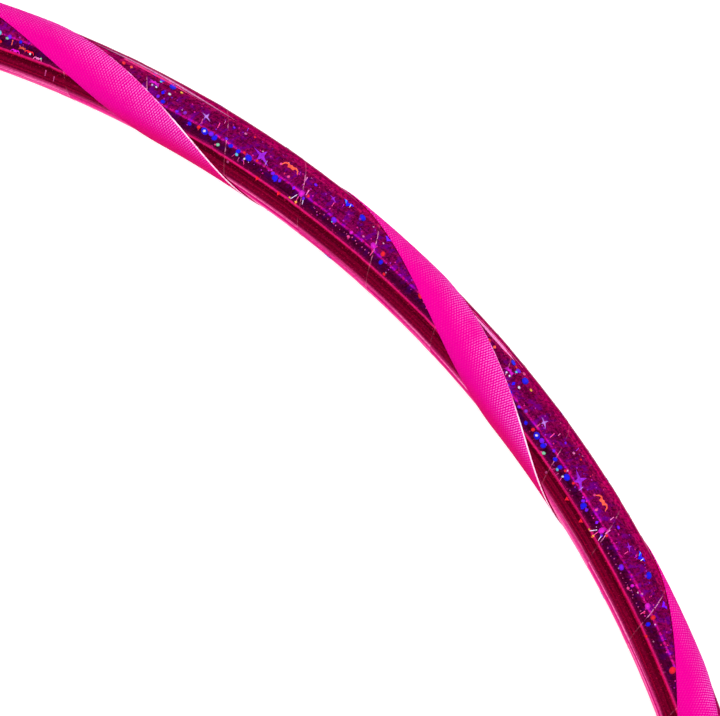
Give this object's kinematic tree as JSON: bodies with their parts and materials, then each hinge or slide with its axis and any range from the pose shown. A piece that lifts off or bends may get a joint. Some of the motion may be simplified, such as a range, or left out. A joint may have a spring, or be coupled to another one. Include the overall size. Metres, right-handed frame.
{
  "type": "rhythmic hoop",
  "caption": "Ring of round plastic tube under holographic foil, with a spiral of cloth grip tape and a snap-button joint that opens it for packing.",
  "frame": {"origin": "centre of the ring, at the level of the surface that it lies on", "axes": "+Z is the ring's axis. The ring lies flat. The joint is 9 degrees from -Y, towards +X, and its button and rivets face +Z"},
  "size_m": [0.6008, 0.6008, 0.0179],
  "materials": {
    "tube_plastic": "natural white polyethylene, satin",
    "insert_plastic": "black, moulded",
    "holographic_foil": "metallised magenta film with a holographic glitter, mirror gloss",
    "grip_cloth": "fluorescent pink woven cloth tape, matt",
    "bright_steel": "polished, nickel plated",
    "spring_steel": "tempered strip, oiled",
    "rivet_aluminium": "plain"
  },
  "bodies": {
    "hoop": {"hoop_tube": "tube_plastic", "joint_insert": "insert_plastic", "foil_wrap": "holographic_foil", "grip_tape": "grip_cloth", "snap_spring": "spring_steel", "rivet_body_1": "rivet_aluminium", "rivet_body_2": "rivet_aluminium", "rivet_mandrel_1": "bright_steel", "rivet_mandrel_2": "bright_steel"},
    "button": {"snap_button": "bright_steel"}
  },
  "joints": [
    {"name": "button_press", "type": "slide", "parent": "hoop", "child": "button", "axis": [0, 0, -1], "range_m": [0, 0.0031], "stiffness_N_per_m": 2000, "springref_m": -0.002, "deforming": ["snap_spring"]}
  ]
}
